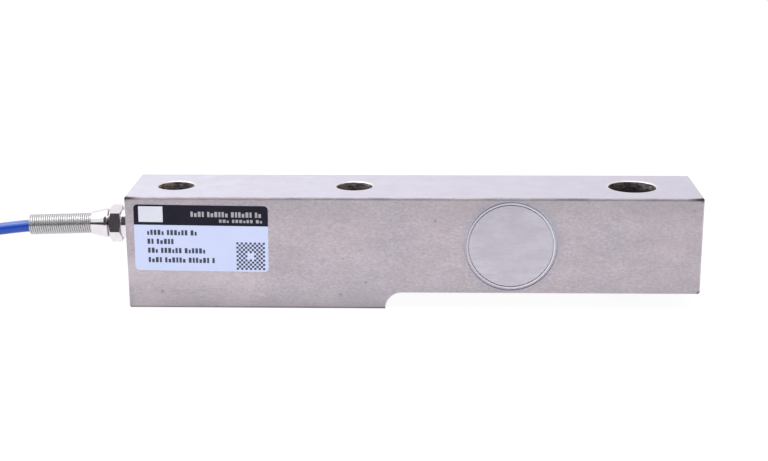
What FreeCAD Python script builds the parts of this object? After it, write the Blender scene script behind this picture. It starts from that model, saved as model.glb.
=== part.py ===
import FreeCAD, Part
import math
import os

# A single-ended shear beam load cell with a stepped steel body. Sizes are in millimetres.
# The origin lies midway between the two mounting holes, on the underside.
# X runs along the beam to the load end, Y to the unlabelled side, Z up.

V = FreeCAD.Vector

# Beam
beam_length = 203.2
beam_width = 34.0
beam_height = 41.0
step_height = 6.0
step_from_end = 91.8
edge_chamfer = 0.5

# Holes along the beam
first_hole_from_end = 15.8
mounting_spacing = 64.6
mounting_hole_diameter = 13.0
load_hole_from_end = 180.2
load_hole_diameter = 17.0
hole_chamfer = 0.4

# Gauge pockets, one from each side
pocket_from_end = 136.2
web_thickness = 3.5
pocket_diameter = 25.0
ledge_width = 1.5
ledge_depth = 5.5
cover_shelf = 1.1
cover_clearance = 0.35
cover_thickness = 1.0
weld_lip = 0.6
relief_groove_width = 0.7
relief_groove_depth = 0.6
web_hole_diameter = 2.6
web_hole_offset = 9.4

# Strain gauges on the web and their terminal strips
gauge_size = 9.0
gauge_film = 0.12
foil_thickness = 0.06
strand_count = 6
strand_width = 0.22
strand_gap = 0.22
strand_length = 4.2
solder_tab = 0.9
grid_spacing = 4.23
grid_rise = 0.18
terminal_length = 7.2
terminal_depth = 2.4
terminal_thickness = 0.8
terminal_drop = 8.2
pad_count = 4
pad_pitch = 1.75
pad_radius = 0.6
pad_height = 0.3
pad_sides = 8

# Compensation board on the ledge of the front pocket
board_clearance = 0.2
board_window_diameter = 14.0
board_thickness = 1.6
board_sides = 8
joint_radius = 0.6
joint_height = 0.5
joint_angles = [22, 68, 112, 158, 202, 248, 292, 338]
zero_angles = [0]
span_angles = [90, 270]
temperature_angles = [135, 225]
trim_size = (3.2, 1.8, 0.8)
bobbin_size = (2.6, 2.2, 1.1)

# Wires inside the body
fine_wire_radius = 0.25
wire_slack = 0.8
wire_straight = 1.5
rear_wire_spread = 0.38
rear_wire_rise = 1.9
rear_wire_step = 0.75
core_radius = 0.45
core_spacing = 1.0
core_turn_offset = 4.9
core_turn_step = 1.1
channel_diameter = 3.0

# Gland on the end face
gland_from_front = 7.5
gland_height = 29.4
port_diameter = 8.0
port_depth = 8.0
stub_length = 7.0
collar_diameter = 10.4
collar_length = 2.1
hex_across_flats = 11.6
hex_turn = 16.0
hex_length = 5.0
hex_chamfer = 0.55
hex_outer_chamfer = 1.25
hex_face_cut = 0.85
spigot_diameter = 8.6
spigot_length = 3.0
seal_pocket_diameter = 7.0
seal_length = 4.4
pressure_ring_length = 1.2
cap_gap = 0.2
cap_diameter = 10.4
cap_straight = 1.05
cap_cone = 4.8
cap_end_diameter = 8.0
cap_nose_length = 3.0
cap_nose_diameter = 5.1
fit_clearance = 0.1

# Cable, its spring and its coil
cable_diameter = 4.3
cable_hole_clearance = 0.1
cable_start_depth = 2.0
wire_diameter = 0.76
spring_inner_diameter = 5.8
spring_pitch = 0.785
spring_turns = 26.75
spring_droop = 1.8
spring_seat_gap = 0.12
wire_sides = 6
sides_per_turn = 8
coil_fold_radius = 13.0
coil_run = 80.0
coil_from_beam = 55.0
coil_behind_cable = 5.35
coil_columns = 2
coil_layers = 6
coil_turn_spacing = 4.35
tie_thickness = 0.9
tie_width = 8.0
lead_radius = 0.55
lead_tip_radius = 0.3
lead_offset = 0.85
lead_straight = 1.2
lead_drop_length = 7.0
lead_length = 22.0
lead_near_fan = 1.44
lead_fan = 3.6
lead_tip_length = 4.0
cable_sides = 10

# Label on the front face
label_length = 47.5
label_height = 24.2
label_from_end = 26.8
label_middle_height = 26.0
label_thickness = 0.15
label_corner = 1.5
label_tilt = 0.69

# Places that follow from the sizes above
end_x = -(first_hole_from_end + mounting_spacing / 2)
front_y = -beam_width / 2
rear_y = beam_width / 2
pocket_x = end_x + pocket_from_end
pocket_z = (beam_height + step_height) / 2
gland_y = front_y + gland_from_front
ledge_diameter = pocket_diameter + 2 * ledge_width
seat_diameter = ledge_diameter + 2 * cover_shelf
cover_diameter = seat_diameter - 2 * cover_clearance
hex_x = end_x - collar_length
cap_x = hex_x - hex_length - cap_gap
cone_x = cap_x - cap_straight
cap_end_x = cone_x - cap_cone
spigot_end_x = hex_x - hex_length - spigot_length
board_inner_y = front_y + ledge_depth
board_outer_y = board_inner_y - board_thickness
coil_inner = coil_fold_radius - cable_diameter / 2
coil_outer = coil_fold_radius + (coil_columns - 1) * coil_turn_spacing + cable_diameter / 2
coil_height = (coil_layers - 1) * coil_turn_spacing + cable_diameter
coil_front_run_y = gland_y - coil_behind_cable
coil_middle_y = coil_front_run_y + coil_outer - cable_diameter / 2
coil_right_x = end_x - coil_from_beam - coil_outer
coil_left_x = coil_right_x - coil_run

# The cable's route, from its end inside the gland to the coil, as points chosen by hand
cable_route = [
    V(-46.1, -9.5, 29.4),
    V(-66.5, -9.5, 29.4),
    V(-84.6, -9.5, 28.7),
    V(-103.5, -11.2, 26.3),
    V(-122.0, -14.1, 24.3),
    V(-141.0, -14.85, 23.9),
]
# The tail's route, from the coil's lowest outer turn along the floor
tail_route = [
    V(-204.0, -14.85, 2.15),
    V(-216.0, -14.3, 2.15),
    V(-228.0, -12.2, 2.15),
]


def cylinder(radius, start, direction, length):
    """A round bar from a point along a direction."""
    return Part.makeCylinder(radius, length, start, direction)


def ring(outer, inner, start, direction, length):
    """A round ring between two radii."""
    return cylinder(outer, start, direction, length).cut(cylinder(inner, start, direction, length))


def box_between(low, high):
    """A box between two corners."""
    return Part.makeBox(high.x - low.x, high.y - low.y, high.z - low.z, low)


def turned(profile, axis_point, axis):
    """A turned solid, from a closed profile of points in the plane of the axis."""
    face = Part.Face(Part.makePolygon(profile + [profile[0]]))
    return face.revolve(axis_point, axis, 360)


def tangent_path(points, shortest=0.45):
    """Straight runs joined by tangent arcs, each as large as its two runs allow, and the arcs' radii."""
    edges = []
    radii = []
    at = points[0]
    for before, corner, after in zip(points, points[1:], points[2:]):
        run_in = corner.sub(before)
        run_out = after.sub(corner)
        turn = run_in.getAngle(run_out)
        reach = shortest * min(run_in.Length, run_out.Length)
        into = V(run_in).normalize()
        out = V(run_out).normalize()
        arc_start = corner.sub(V(into).multiply(reach))
        arc_end = corner.add(V(out).multiply(reach))
        bisector = V(out).sub(into).normalize()
        radius = reach / math.tan(turn / 2)
        centre_distance = radius / math.cos(turn / 2)
        middle = corner.add(V(bisector).multiply(centre_distance - radius))
        edges.append(Part.LineSegment(at, arc_start).toShape())
        edges.append(Part.Arc(arc_start, middle, arc_end).toShape())
        radii.append(radius)
        at = arc_end
    edges.append(Part.LineSegment(at, points[-1]).toShape())
    return Part.Wire(edges), radii


def polygon_across(centre, direction, radius, sides):
    """A regular polygon with its corners on a circle round a point, square to a direction."""
    ahead = V(direction).normalize()
    side = ahead.cross(V(0, 0, 1))
    if side.Length < 0.1:
        side = ahead.cross(V(0, 1, 0))
    side.normalize()
    up = side.cross(ahead)
    corners = []
    for step in range(sides):
        angle = 2 * math.pi * (step + 0.5) / sides
        across = V(side).multiply(radius * math.cos(angle))
        corners.append(centre.add(across).add(V(up).multiply(radius * math.sin(angle))))
    return Part.makePolygon(corners + [corners[0]])


def wire_solid(points, radius, sides=6):
    """A thin wire bent sharply at each point, with a flat-sided section."""
    path = Part.makePolygon(points)
    section = polygon_across(points[0], points[1].sub(points[0]), radius, sides)
    right_corners = 1
    return path.makePipeShell([section], True, False, right_corners)


def cable_solid(points, radius):
    """The cable along straight runs and arcs; prints the arcs' radii and checks the volume."""
    path, radii = tangent_path(points)
    section = polygon_across(points[0], points[1].sub(points[0]), radius, cable_sides)
    solid = path.makePipeShell([section], True, False)
    expected = Part.Face(section).Area * path.Length
    print("cable arcs, radii in mm:", [round(value, 1) for value in radii])
    print("cable volume against section times length:", round(solid.Volume / expected, 4))
    return solid


def stepped_bar():
    """The bar with the step under its free part, its edges broken by small chamfers."""
    step_x = end_x + step_from_end
    far_x = end_x + beam_length
    corner = V(step_x + step_height, front_y, 0)
    arc_middle = corner.add(V(-step_height * math.sqrt(0.5), 0, step_height * math.sqrt(0.5)))
    outline = [
        Part.LineSegment(V(end_x, front_y, 0), V(step_x, front_y, 0)).toShape(),
        Part.Arc(V(step_x, front_y, 0), arc_middle, corner.add(V(0, 0, step_height))).toShape(),
        Part.LineSegment(corner.add(V(0, 0, step_height)), V(far_x, front_y, step_height)).toShape(),
        Part.LineSegment(V(far_x, front_y, step_height), V(far_x, front_y, beam_height)).toShape(),
        Part.LineSegment(V(far_x, front_y, beam_height), V(end_x, front_y, beam_height)).toShape(),
        Part.LineSegment(V(end_x, front_y, beam_height), V(end_x, front_y, 0)).toShape(),
    ]
    bar = Part.Face(Part.Wire(outline)).extrude(V(0, beam_width, 0))
    straight = [edge for edge in bar.Edges if isinstance(edge.Curve, Part.Line)]
    cutter_edges = [step_x, corner.x]
    kept = [edge for edge in straight
            if not any(abs(edge.CenterOfMass.x - x) < 0.01 and abs(edge.CenterOfMass.y) < 0.01
                       for x in cutter_edges)]
    return bar.makeChamfer(edge_chamfer, kept)


def through_hole(x, diameter, bottom, top):
    """A vertical hole with a small chamfer at its upper end."""
    radius = diameter / 2
    wide = radius + hole_chamfer
    profile = [V(x, 0, bottom), V(x + radius, 0, bottom), V(x + radius, 0, top - hole_chamfer),
               V(x + wide, 0, top), V(x, 0, top)]
    return turned(profile, V(x, 0, 0), V(0, 0, 1))


def pocket_cuts(face_y, inward):
    """The cuts of one gauge pocket: cover seat, gauge bore and the relief groove round the weld lip."""
    centre = V(pocket_x, face_y, pocket_z)
    seat = cylinder(seat_diameter / 2, centre, inward, cover_thickness)
    depth = (beam_width - web_thickness) / 2
    bore = cylinder(pocket_diameter / 2, centre, inward, depth)
    groove_inner = seat_diameter / 2 + weld_lip
    groove = ring(groove_inner + relief_groove_width, groove_inner, centre, inward, relief_groove_depth)
    return [seat, bore, groove]


def make_beam_body():
    body = stepped_bar()
    top = beam_height
    holes = [
        through_hole(end_x + first_hole_from_end, mounting_hole_diameter, 0, top),
        through_hole(end_x + first_hole_from_end + mounting_spacing, mounting_hole_diameter, 0, top),
        through_hole(end_x + load_hole_from_end, load_hole_diameter, step_height, top),
    ]
    ledge = cylinder(ledge_diameter / 2, V(pocket_x, front_y, pocket_z), V(0, 1, 0), ledge_depth)
    pockets = pocket_cuts(front_y, V(0, 1, 0)) + pocket_cuts(rear_y, V(0, -1, 0)) + [ledge]
    web_hole = cylinder(web_hole_diameter / 2, V(pocket_x - web_hole_offset, -web_thickness, pocket_z),
                        V(0, 1, 0), 2 * web_thickness)
    port = cylinder(port_diameter / 2, V(end_x, gland_y, gland_height), V(1, 0, 0), port_depth)
    channel = cylinder(channel_diameter / 2, V(end_x, gland_y, gland_height), V(1, 0, 0), pocket_from_end)
    channel = channel.common(box_between(V(end_x, front_y, 0), V(pocket_x, 0, beam_height)))
    return body.cut(holes + pockets + [web_hole, port, channel])


def make_cover(face_y, outward):
    """A cover: a thin disc, flush with the face and welded down on the floor of its seat."""
    return cylinder(cover_diameter / 2, V(pocket_x, face_y, pocket_z), V(0, -outward, 0), cover_thickness)


def make_gauge_film(side):
    """The film that carries a gauge, on the web's face; side is -1 in front and 1 behind."""
    web_y = side * web_thickness / 2
    near_y = min(web_y, web_y + side * gauge_film)
    half = gauge_size / 2
    return Part.makeBox(gauge_size, gauge_film, gauge_size, V(pocket_x - half, near_y, pocket_z - half))


def make_gauge_foil(side):
    """Two foil grids at plus and minus 45 degrees to the beam, with a solder tab at each end of both."""
    film_y = side * (web_thickness / 2 + gauge_film)
    near_y = min(film_y, film_y + side * foil_thickness)
    pitch = strand_width + strand_gap
    span = strand_count * pitch - strand_gap
    grids = []
    for lean in (-1, 1):
        pieces = []
        for strand in range(strand_count):
            x = strand * pitch
            pieces.append(Part.makeBox(strand_width, foil_thickness, strand_length, V(x, 0, 0)))
            if strand < strand_count - 1:
                top_end = strand % 2 == 0
                z = strand_length - strand_width if top_end else 0
                pieces.append(Part.makeBox(pitch + strand_width, foil_thickness, strand_width, V(x, 0, z)))
        for tab_x in (strand_width - solder_tab, span - strand_width):
            place = V(tab_x, 0, -solder_tab)
            pieces.append(Part.makeBox(solder_tab, foil_thickness, solder_tab, place))
        grid = pieces[0].fuse(pieces[1:]).removeSplitter()
        grid.translate(V(-span / 2, 0, -strand_length / 2))
        grid.rotate(V(0, 0, 0), V(0, 1, 0), lean * 45)
        grid.translate(V(pocket_x + lean * grid_spacing / 2, near_y, pocket_z + grid_rise))
        grids.append(grid)
    return Part.makeCompound(grids)


def terminal_places(side):
    """The centres of a terminal strip's pads, on their outer faces."""
    y = side * (web_thickness / 2 + terminal_thickness + pad_height)
    z = pocket_z - terminal_drop
    first = pocket_x - pad_pitch * (pad_count - 1) / 2
    return [V(first + pad * pad_pitch, y, z) for pad in range(pad_count)]


def make_terminals(side):
    """A terminal strip glued to the web below its gauge, with four raised pads."""
    web_y = side * web_thickness / 2
    near_y = min(web_y, web_y + side * terminal_thickness)
    low = V(pocket_x - terminal_length / 2, near_y, pocket_z - terminal_drop - terminal_depth / 2)
    strip = Part.makeBox(terminal_length, terminal_thickness, terminal_depth, low)
    pads = []
    for place in terminal_places(side):
        base = V(place.x, side * (web_thickness / 2 + terminal_thickness), place.z)
        outline = Part.Face(polygon_across(base, V(0, side, 0), pad_radius, pad_sides))
        pads.append(outline.extrude(V(0, side * pad_height, 0)))
    return strip.fuse(pads)


def make_board():
    """The eight-sided compensation board with a window over the gauge, glued to the front pocket's ledge."""
    centre = V(pocket_x, board_outer_y, pocket_z)
    inward = V(0, 1, 0)
    radius = ledge_diameter / 2 - board_clearance
    outline = Part.Face(polygon_across(centre, inward, radius, board_sides))
    window = Part.Face(polygon_across(centre, inward, board_window_diameter / 2, board_sides))
    return outline.cut(window).extrude(V(0, board_thickness, 0))


def board_middle_radius():
    """How far the board's pieces lie from the pocket's axis, midway between window and edge."""
    return (ledge_diameter + board_window_diameter) / 4


def chip(length, width, height, angle):
    """A flat resistor on the board, at an angle round the pocket's axis."""
    body = Part.makeBox(length, height, width, V(-length / 2, -height, -width / 2))
    body.translate(V(0, 0, board_middle_radius()))
    body.rotate(V(0, 0, 0), V(0, 1, 0), angle)
    body.translate(V(pocket_x, board_outer_y, pocket_z))
    return body


def make_resistors(angles, size):
    return Part.makeCompound([chip(*size, angle) for angle in angles])


def make_solder_joints():
    """Solder joints on the board's outer face, in pairs beside each resistor."""
    joints = []
    for angle in joint_angles:
        turn = math.radians(angle)
        reach = board_middle_radius()
        place = V(pocket_x + reach * math.sin(turn), board_outer_y, pocket_z + reach * math.cos(turn))
        base = Part.Face(polygon_across(place, V(0, -1, 0), joint_radius, pad_sides))
        joints.append(base.extrude(V(0, -joint_height, 0)))
    return Part.makeCompound(joints)


def make_front_gauge_wires():
    """Four fine wires from the front terminals straight out to the board, with a slight bend in each."""
    wires = []
    for place in terminal_places(-1):
        bend = V(place.x, (place.y + board_inner_y) / 2, place.z - wire_slack)
        first = place.add(V(0, -wire_straight, 0))
        last = V(place.x, board_inner_y + wire_straight, place.z)
        end = V(place.x, board_inner_y, place.z)
        wires.append(wire_solid([place, first, bend, last, end], fine_wire_radius))
    return Part.makeCompound(wires)


def make_rear_gauge_wires():
    """Four fine wires from the rear terminals, through the hole in the web, to the board."""
    wires = []
    places = terminal_places(1)
    for number, place in enumerate(places):
        across = rear_wire_spread if number % 2 else -rear_wire_spread
        up = rear_wire_spread if number < 2 else -rear_wire_spread
        hole_x = pocket_x - web_hole_offset + across
        hole_z = pocket_z + up
        out_y = place.y + rear_wire_rise + rear_wire_step * number
        route = [
            place,
            V(place.x, out_y, place.z),
            V(hole_x, out_y, hole_z),
            V(hole_x, board_inner_y, hole_z),
        ]
        wires.append(wire_solid(route, fine_wire_radius))
    return Part.makeCompound(wires)


core_places = {"red": (-1, 1), "black": (1, 1), "green": (-1, -1), "white": (1, -1)}
core_turn_order = {"red": 1, "black": 0, "green": 3, "white": 2}


def make_inner_core(name):
    """One insulated core, from the end of the cable's jacket through the channel to the board."""
    side, height = core_places[name]
    y = gland_y + side * core_spacing / 2
    z = gland_height + height * core_spacing / 2
    turn_x = pocket_x - core_turn_offset - core_turn_step * core_turn_order[name]
    start = V(end_x + cable_start_depth, y, z)
    return wire_solid([start, V(turn_x, y, z), V(turn_x, board_inner_y, z)], core_radius)


def gland_point(x, radius):
    """A point in the gland's own plane, at a distance from its axis."""
    return V(x, gland_y, gland_height + radius)


def turned_on_gland(profile):
    points = [gland_point(x, radius) for x, radius in profile]
    return turned(points, gland_point(0, 0), V(1, 0, 0))


def make_gland_collar():
    """The thick sealing washer between the gland's hexagon and the beam's end face."""
    inner = port_diameter / 2 + fit_clearance
    outer = collar_diameter / 2
    return turned_on_gland([(end_x, inner), (end_x, outer), (hex_x, outer), (hex_x, inner)])


def make_gland_body():
    """The gland's body: stub in the beam's port, hexagon and the spigot that the cap screws onto."""
    bore = cable_diameter / 2 + cable_hole_clearance
    pocket_end = spigot_end_x + seal_length + pressure_ring_length
    stub_radius = port_diameter / 2
    outer = [
        (end_x + stub_length, bore), (end_x + stub_length, stub_radius), (hex_x, stub_radius),
        (hex_x, spigot_diameter / 2), (spigot_end_x, spigot_diameter / 2),
        (spigot_end_x, seal_pocket_diameter / 2), (pocket_end, seal_pocket_diameter / 2), (pocket_end, bore),
    ]
    core = turned_on_gland(outer)
    corner = hex_across_flats / math.sqrt(3)
    corners = []
    for step in range(6):
        angle = math.radians(60 * step + hex_turn)
        corners.append(V(hex_x, gland_y + corner * math.sin(angle), gland_height + corner * math.cos(angle)))
    prism = Part.Face(Part.makePolygon(corners + [corners[0]])).extrude(V(-hex_length, 0, 0))
    inside = (seal_pocket_diameter + spigot_diameter) / 4
    rim = corner - 2 * hex_chamfer
    outer_rim = rim - hex_face_cut
    trim = turned_on_gland([
        (hex_x, inside), (hex_x, rim), (hex_x - hex_chamfer, corner),
        (hex_x - hex_length + hex_outer_chamfer, corner), (hex_x - hex_length, outer_rim),
        (hex_x - hex_length, inside),
    ])
    return core.fuse(prism.common(trim)).removeSplitter()


def make_cable_seal():
    """The rubber ring that the pressure ring squeezes onto the cable."""
    stop = spigot_end_x + pressure_ring_length
    start = stop + seal_length
    inner = cable_diameter / 2
    outer = seal_pocket_diameter / 2
    return turned_on_gland([(start, inner), (start, outer), (stop, outer), (stop, inner)])


def make_pressure_ring():
    """The plain ring between the cap's inner face and the rubber seal."""
    start = spigot_end_x + pressure_ring_length
    inner = cable_diameter / 2 + cable_hole_clearance
    outer = seal_pocket_diameter / 2 - fit_clearance
    return turned_on_gland([(start, inner), (start, outer), (spigot_end_x, outer), (spigot_end_x, inner)])


def make_gland_cap():
    """The conical cap, with its thread bore, the inner face that presses the ring and the spring's nose."""
    bore = cable_diameter / 2 + cable_hole_clearance
    nose_x = cap_end_x - cap_nose_length
    thread = spigot_diameter / 2
    outer = [
        (cap_x, thread), (cap_x, cap_diameter / 2), (cone_x, cap_diameter / 2),
        (cap_end_x, cap_end_diameter / 2), (cap_end_x, cap_nose_diameter / 2),
        (nose_x, cap_nose_diameter / 2), (nose_x, bore), (spigot_end_x, bore), (spigot_end_x, thread),
    ]
    return turned_on_gland(outer)


def make_spring():
    """The close-wound spring: one wire along a helix, its round section drawn with flat sides."""
    radius = (spring_inner_diameter + wire_diameter) / 2
    wire_radius = wire_diameter / 2
    total = round(sides_per_turn * spring_turns)
    sections = []
    for step in range(total + 1):
        turn = 2 * math.pi * step / sides_per_turn
        rise = spring_pitch * step / sides_per_turn + wire_radius
        corners = []
        for corner in range(wire_sides):
            angle = 2 * math.pi * (corner + 0.5) / wire_sides
            reach = radius + wire_radius * math.cos(angle)
            height = rise + wire_radius * math.sin(angle)
            corners.append(V(reach * math.cos(turn), reach * math.sin(turn), height))
        sections.append(Part.makePolygon(corners + [corners[0]]))
    spring = Part.makeLoft(sections, True, True)
    spring.rotate(V(0, 0, 0), V(0, 1, 0), -90 - spring_droop)
    spring.translate(gland_point(cap_end_x - spring_seat_gap, 0))
    return spring


def stadium(radius, bottom, height):
    """A prism round both folds of the coil: two half circles joined by straight runs."""
    front = coil_middle_y - radius
    rear = coil_middle_y + radius
    outline = [
        Part.LineSegment(V(coil_right_x, front, bottom), V(coil_left_x, front, bottom)).toShape(),
        Part.Arc(V(coil_left_x, front, bottom), V(coil_left_x - radius, coil_middle_y, bottom),
                 V(coil_left_x, rear, bottom)).toShape(),
        Part.LineSegment(V(coil_left_x, rear, bottom), V(coil_right_x, rear, bottom)).toShape(),
        Part.Arc(V(coil_right_x, rear, bottom), V(coil_right_x + radius, coil_middle_y, bottom),
                 V(coil_right_x, front, bottom)).toShape(),
    ]
    return Part.Face(Part.Wire(outline)).extrude(V(0, 0, height))


def make_coil_tie():
    """The tie: a flat strap round the middle of the coil, pressed into the lowest turns under it."""
    middle_x = (coil_right_x + coil_left_x) / 2
    near = V(middle_x - tie_width / 2, coil_middle_y - coil_outer, 0)
    far = V(middle_x + tie_width / 2, coil_middle_y + coil_outer, coil_height)
    outside = box_between(near.sub(V(0, tie_thickness, 0)), far.add(V(0, tie_thickness, tie_thickness)))
    return outside.cut(box_between(near.add(V(0, 0, tie_thickness)), far))


def make_coil(tie):
    """The cable's coil as one block: long turns wound round two folds, side by side and in layers."""
    return stadium(coil_outer, 0, coil_height).cut([stadium(coil_inner, 0, coil_height), tie])


def make_cable_tube():
    return cable_solid(cable_route, cable_diameter / 2).cut(stadium(coil_outer, 0, beam_height))


def make_cable_tail():
    return cable_solid(tail_route, cable_diameter / 2).cut(stadium(coil_outer, 0, coil_height))


# For each lead: its place in the jacket's end, sideways and up, and its place in the fan on the floor
leads = {
    "red": (-1, 1, -2),
    "green": (-1, -1, -1),
    "shield": (0, 0, 0),
    "white": (1, -1, 1),
    "black": (1, 1, 2),
}


def make_lead(name):
    """One stripped lead at the cable's free end: it drops to the floor and fans out, with a tinned tip."""
    start = tail_route[-1]
    ahead = start.sub(tail_route[-2]).normalize()
    side = ahead.cross(V(0, 0, 1))
    across, up, fan = leads[name]
    first = start.add(V(side).multiply(across * lead_offset)).add(V(0, 0, up * lead_offset))
    second = first.add(V(ahead).multiply(lead_straight))
    floor = start.add(V(0, 0, lead_radius - start.z))
    third = floor.add(V(ahead).multiply(lead_drop_length)).add(V(side).multiply(fan * lead_near_fan))
    last = floor.add(V(ahead).multiply(lead_length - abs(fan))).add(V(side).multiply(fan * lead_fan))
    sleeve = wire_solid([first, second, third, last], lead_radius)
    onward = last.sub(third).normalize()
    tip_section = Part.Face(polygon_across(last, onward, lead_tip_radius, 6))
    return sleeve.fuse(tip_section.extrude(V(onward).multiply(lead_tip_length)))


def make_label():
    """The sticker on the front face, a little out of level."""
    middle = V(end_x + label_from_end, front_y, label_middle_height)
    low = middle.add(V(-label_length / 2, -label_thickness, -label_height / 2))
    sheet = Part.makeBox(label_length, label_thickness, label_height, low)
    corners = [edge for edge in sheet.Edges if abs(edge.Length - label_thickness) < 0.001]
    sheet = sheet.makeFillet(label_corner, corners)
    sheet.rotate(middle, V(0, 1, 0), label_tilt)
    return sheet


def make_parts():
    tie = make_coil_tie()
    parts = {
        "beam_body": make_beam_body(),
        "front_pocket_cover": make_cover(front_y, -1),
        "rear_pocket_cover": make_cover(rear_y, 1),
        "front_gauge_film": make_gauge_film(-1),
        "rear_gauge_film": make_gauge_film(1),
        "front_gauge_foil": make_gauge_foil(-1),
        "rear_gauge_foil": make_gauge_foil(1),
        "front_terminal_strip": make_terminals(-1),
        "rear_terminal_strip": make_terminals(1),
        "compensation_board": make_board(),
        "zero_trim_resistor": make_resistors(zero_angles, trim_size),
        "span_trim_resistors": make_resistors(span_angles, trim_size),
        "temperature_resistors": make_resistors(temperature_angles, bobbin_size),
        "board_solder_joints": make_solder_joints(),
        "front_gauge_wires": make_front_gauge_wires(),
        "rear_gauge_wires": make_rear_gauge_wires(),
        "gland_collar": make_gland_collar(),
        "gland_body": make_gland_body(),
        "cable_seal": make_cable_seal(),
        "pressure_ring": make_pressure_ring(),
        "gland_cap": make_gland_cap(),
        "strain_relief_spring": make_spring(),
        "cable_tube": make_cable_tube(),
        "cable_coil": make_coil(tie),
        "cable_tail": make_cable_tail(),
        "coil_tie": tie,
        "name_label": make_label(),
    }
    for name in core_places:
        parts["inner_core_" + name] = make_inner_core(name)
    for name in leads:
        parts["lead_" + name] = make_lead(name)
    return parts


def main():
    os.makedirs("parts", exist_ok=True)
    for name, shape in make_parts().items():
        if not shape.isValid():
            print("not valid:", name)
        shape.exportStep("parts/" + name + ".step")


main()
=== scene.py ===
import math

import bmesh
import bpy
from mathutils import Matrix, Vector


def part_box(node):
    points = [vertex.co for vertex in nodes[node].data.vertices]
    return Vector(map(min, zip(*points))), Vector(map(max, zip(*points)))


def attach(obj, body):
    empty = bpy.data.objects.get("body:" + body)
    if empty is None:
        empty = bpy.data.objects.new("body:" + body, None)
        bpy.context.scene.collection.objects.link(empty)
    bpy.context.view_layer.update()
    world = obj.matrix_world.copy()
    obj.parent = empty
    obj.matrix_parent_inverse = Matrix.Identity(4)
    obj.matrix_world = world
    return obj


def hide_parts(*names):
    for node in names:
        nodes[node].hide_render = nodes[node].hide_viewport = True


# A steel shear beam load cell with its gland, spring and cable.
# Names that end in _mm are millimetres, and mm() turns them into metres. Angles are in degrees.
# The origin lies midway between the mounting holes, on the underside; X runs to the load end.

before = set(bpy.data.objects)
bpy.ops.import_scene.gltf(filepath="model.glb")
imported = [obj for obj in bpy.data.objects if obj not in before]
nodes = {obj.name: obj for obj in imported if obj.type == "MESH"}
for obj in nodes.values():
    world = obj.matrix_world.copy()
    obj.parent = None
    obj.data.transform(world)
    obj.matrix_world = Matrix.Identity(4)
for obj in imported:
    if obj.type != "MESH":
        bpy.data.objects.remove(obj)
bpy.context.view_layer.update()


def mm(*values):
    """Millimetres as metres: one number, or a point."""
    scaled = [value / 1000 for value in values]
    return scaled[0] if len(scaled) == 1 else Vector(scaled)


# The camera of the photograph
camera_place_mm = (58.99, -516.45, 171.10)
camera_tilt = 74.136
camera_roll = 0.262
camera_turn = 1.713
camera_lens_mm = 69.18
camera_sensor_mm = 36.0
camera_nearest_mm = 10.0
camera_furthest_mm = 30000.0

# Beam: its lowest and highest corners in metres, its step and its welded cover
beam_low, beam_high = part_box("beam_body")
step_mm = 43.7
step_height_mm = 6.0
cover_middle_mm = (88.1, 0, 23.5)
cover_bead_outer_mm = 15.45
cover_groove_mm = 0.85

# Holes: place along the beam and radius in millimetres, and the paleness of the bore's painted light to the
# left and right
holes = (
    (-32.3, 6.5, 0.72, 1.0),
    (32.3, 6.5, 0.60, 1.0),
    (132.1, 8.5, 0.34, 0.80),
)

# Corners of the front face that are painted dark as shade: place in metres, and the shade's reach in
# millimetres
shaded_corners = (
    ((beam_low.x, beam_low.y, beam_high.z), 2.0),
    ((beam_high.x, beam_low.y, beam_high.z), 2.0),
    ((beam_high.x, beam_low.y, mm(step_height_mm)), 1.6),
)

# Spring: it starts at the cap's end face and droops a little
spring_start_mm = (-61.37, -9.5, 29.4)
spring_inner_diameter_mm = 5.8
spring_wire_mm = 0.76
spring_pitch_mm = 0.785
spring_turns = 27.4
spring_spare_turns = 2
spring_droop = 1.8
spring_points_a_turn = 20

# Cable and its coil of long turns with a fold at each end
cable_diameter_mm = 4.3
coil_fold_radius_mm = 13.0
coil_run_mm = 80.0
coil_right_mm = -122.6
coil_front_mm = -14.85
coil_columns = 2
coil_layers = 6
coil_spacing_mm = 4.35
coil_middle_y_mm = coil_front_mm + coil_fold_radius_mm + (coil_columns - 1) * coil_spacing_mm
coil_run_points = 5
coil_fold_points = 8
coil_entry_mm = 10.0
coil_layer_shift_mm = (0.3, -0.5, 0.6, -0.4, 0.5, 0.0)
coil_bow_mm = 0.5

# The strap that ties the coil, and its loose end laid back over the top
tie_width_mm = 8.0
tie_thickness_mm = 0.9
tie_outer_corner_mm = 2.9
tie_inner_corner_mm = 2.1
tie_flat_share = 0.22
tie_ramp_share = 0.2
flap_front_mm = 12.0
flap_rear_mm = 14.0
flap_thickness_mm = 0.8
flap_corners_mm = (0.2, 0.2, 0.6, 0.6)
flap_inset_mm = 0.2

# The cable's route from inside the gland to the coil, and the tail beyond it, as in the part's source
cable_route_mm = [
    (-46.1, -9.5, 29.4),
    (-66.5, -9.5, 29.4),
    (-84.6, -9.5, 28.45),
    (-103.5, -11.2, 26.3),
    (-122.0, -14.1, 24.3),
    (-141.0, -14.85, 23.9),
]
tail_route_mm = [
    (-204.0, -14.85, 2.15),
    (-216.0, -14.3, 2.15),
    (-228.0, -12.2, 2.15),
]

# Leads at the free end: place in the jacket's end sideways and up, and place in the fan
leads = {
    "red": (-1, 1, -2),
    "green": (-1, -1, -1),
    "shield": (0, 0, 0),
    "white": (1, -1, 1),
    "black": (1, 1, 2),
}
lead_radius_mm = 0.55
lead_tip_radius_mm = 0.3
lead_offset_mm = 0.85
lead_overlap_mm = 0.5
lead_straight_mm = 1.2
lead_drop_mm = 7.0
lead_length_mm = 22.0
lead_near_fan_mm = 1.44
lead_fan_mm = 3.6
lead_tip_mm = 4.0

# The shield's drain: strands twisted round each other
drain_strands = 4
drain_strand_radius_mm = 0.21
drain_twist_radius_mm = 0.27
drain_twists = 9
drain_points = 90

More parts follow.
